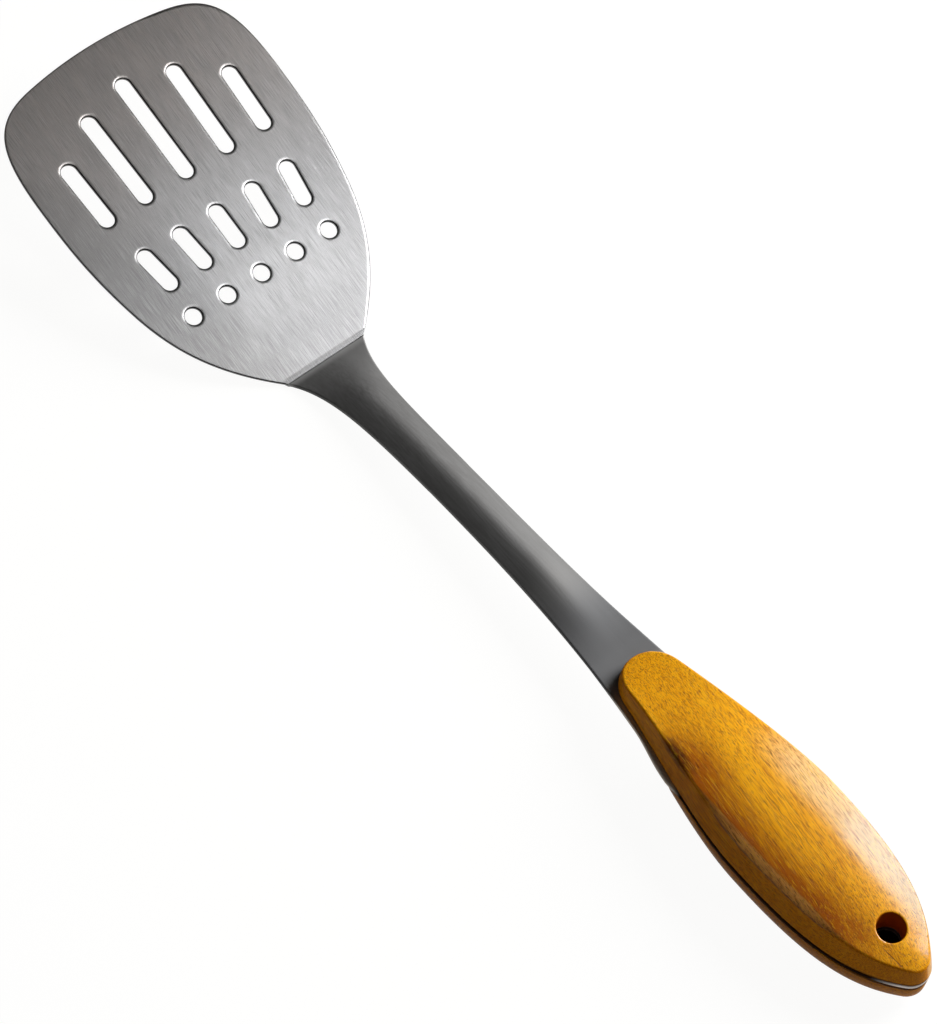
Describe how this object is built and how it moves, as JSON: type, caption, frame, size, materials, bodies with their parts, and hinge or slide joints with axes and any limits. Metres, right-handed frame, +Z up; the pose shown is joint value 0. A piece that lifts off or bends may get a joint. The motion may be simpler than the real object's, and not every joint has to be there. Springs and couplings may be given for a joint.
{
  "type": "slotted kitchen turner",
  "caption": "Slotted steel kitchen turner: a wide pitched blade with drain slots and holes, an arched shank, and a rounded wooden handle with a hanging hole.",
  "frame": {"origin": "On the table surface, below the middle of the length, on the plane of symmetry. The part lies as on a table, on the heel of the blade and the belly of the lower scale.", "axes": "+X along the tool from the blade's tip towards the butt of the handle, +Z up from the table, and Y = 0 is the plane of symmetry."},
  "size_m": [0.3612, 0.0854, 0.033],
  "materials": {
    "blade_steel": "stainless steel with fine hairline brushing along the length",
    "shank_steel": "smooth satin stainless steel",
    "handle_wood": "golden brown hardwood with fine dark pores, lacquered",
    "glue": "dark cured adhesive",
    "pin_steel": "plain drawn rod"
  },
  "bodies": {
    "root": {"blade": "blade_steel", "shank_and_tang": "shank_steel", "upper_scale": "handle_wood", "lower_scale": "handle_wood", "upper_glue_line": "glue", "lower_glue_line": "glue", "front_pin": "pin_steel", "rear_pin": "pin_steel"}
  },
  "joints": []
}
